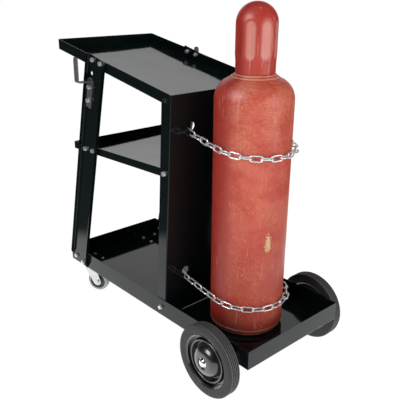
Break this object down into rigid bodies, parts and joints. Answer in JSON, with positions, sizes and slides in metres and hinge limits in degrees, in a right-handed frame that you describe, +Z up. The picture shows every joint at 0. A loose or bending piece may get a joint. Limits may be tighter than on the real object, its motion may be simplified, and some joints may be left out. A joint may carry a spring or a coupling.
{
  "type": "oxy acetylene torch cart",
  "caption": "Black sheet steel cart with a sloped top tray, a shelf, rear wheels and front casters, and a capped red gas cylinder chained behind an upright panel.",
  "frame": {"origin": "centre of the bounding box's footprint, on the floor", "axes": "+X towards the cylinder end, +Z up; -Y is the near side"},
  "size_m": [0.728, 0.4152, 0.848],
  "materials": {
    "black_powder_coat": "glossy black powder coat",
    "zinc_plate": "bright zinc plate",
    "black_oxide": "black oxide screws",
    "hook_zinc": "dull zinc plate",
    "chrome_cap": "polished chrome",
    "wheel_paint": "glossy black enamel",
    "tyre_rubber": "matt black rubber",
    "caster_rubber": "grey thermoplastic rubber",
    "caster_core": "moulded polypropylene",
    "chain_zinc": "bright zinc plate",
    "axle_steel": "turned steel",
    "cylinder_red": "worn red enamel",
    "cap_red": "red enamel",
    "valve_brass": "forged brass",
    "handwheel_alloy": "cast aluminium"
  },
  "bodies": {
    "frame": {"base_tray": "black_powder_coat", "middle_shelf": "black_powder_coat", "top_tray": "black_powder_coat", "back_panel": "black_powder_coat", "post_near": "black_powder_coat", "post_far": "black_powder_coat", "cable_hook_near": "hook_zinc", "cable_hook_far": "hook_zinc", "post_bolts": "zinc_plate", "post_nuts": "zinc_plate", "hook_bolts": "zinc_plate", "hook_nuts": "zinc_plate", "panel_bolts": "zinc_plate", "panel_top_screws": "black_oxide", "panel_nuts": "zinc_plate", "axle": "axle_steel", "axle_brackets": "black_powder_coat", "axle_washers": "zinc_plate", "axle_caps": "chrome_cap", "caster_plate_near": "zinc_plate", "caster_plate_far": "zinc_plate", "caster_bolts": "zinc_plate", "caster_nuts": "zinc_plate", "caster_kingpins": "zinc_plate", "upper_chain": "chain_zinc", "lower_chain": "chain_zinc", "lower_chain_leads": "chain_zinc"},
    "rear_wheel_near": {"wheel_outer_disc_near": "wheel_paint", "wheel_inner_disc_near": "wheel_paint", "wheel_hub_near": "axle_steel", "rear_tyre_near": "tyre_rubber"},
    "caster_swivel_near": {"caster_fork_near": "zinc_plate", "caster_race_near": "zinc_plate", "caster_axle_near": "zinc_plate", "caster_sleeve_near": "zinc_plate"},
    "caster_wheel_near": {"caster_core_near": "caster_core", "caster_tyre_near": "caster_rubber"},
    "rear_wheel_far": {"wheel_outer_disc_far": "wheel_paint", "wheel_inner_disc_far": "wheel_paint", "wheel_hub_far": "axle_steel", "rear_tyre_far": "tyre_rubber"},
    "caster_swivel_far": {"caster_fork_far": "zinc_plate", "caster_race_far": "zinc_plate", "caster_axle_far": "zinc_plate", "caster_sleeve_far": "zinc_plate"},
    "caster_wheel_far": {"caster_core_far": "caster_core", "caster_tyre_far": "caster_rubber"},
    "cylinder": {"cylinder_shell": "cylinder_red", "neck_ring": "cylinder_red", "valve_body": "valve_brass", "packing_nut": "valve_brass", "relief_plug": "valve_brass"},
    "valve_cap": {"valve_cap": "cap_red"},
    "handwheel": {"valve_spindle": "axle_steel", "handwheel": "handwheel_alloy", "handwheel_nut": "axle_steel"}
  },
  "joints": [
    {"name": "rear_wheel_near_spin", "type": "hinge", "parent": "frame", "child": "rear_wheel_near", "pos_m": [0.268, -0.183, 0.087], "axis": [0, 1, 0], "continuous": true},
    {"name": "caster_near_swivel", "type": "hinge", "parent": "frame", "child": "caster_swivel_near", "pos_m": [-0.321, -0.115, 0.09], "axis": [0, 0, 1], "continuous": true},
    {"name": "caster_near_spin", "type": "hinge", "parent": "caster_swivel_near", "child": "caster_wheel_near", "pos_m": [-0.30455, -0.1055, 0.032], "axis": [-0.5, 0.866, 0], "continuous": true},
    {"name": "rear_wheel_far_spin", "type": "hinge", "parent": "frame", "child": "rear_wheel_far", "pos_m": [0.268, 0.183, 0.087], "axis": [0, 1, 0], "continuous": true},
    {"name": "caster_far_swivel", "type": "hinge", "parent": "frame", "child": "caster_swivel_far", "pos_m": [-0.321, 0.115, 0.09], "axis": [0, 0, 1], "continuous": true},
    {"name": "caster_far_spin", "type": "hinge", "parent": "caster_swivel_far", "child": "caster_wheel_far", "pos_m": [-0.30455, 0.1245, 0.032], "axis": [-0.5, 0.866, 0], "continuous": true},
    {"name": "cylinder_lift_out", "type": "slide", "parent": "frame", "child": "cylinder", "axis": [0, 0, 1], "range_m": [0, 0.55]},
    {"name": "valve_cap_lift_off", "type": "slide", "parent": "cylinder", "child": "valve_cap", "axis": [0, 0, 1], "range_m": [0, 0.2]},
    {"name": "handwheel_turn", "type": "hinge", "parent": "cylinder", "child": "handwheel", "pos_m": [0.2115, -0.006, 0.785], "axis": [0, 0, 1], "range_deg": [0, 540]}
  ]
}
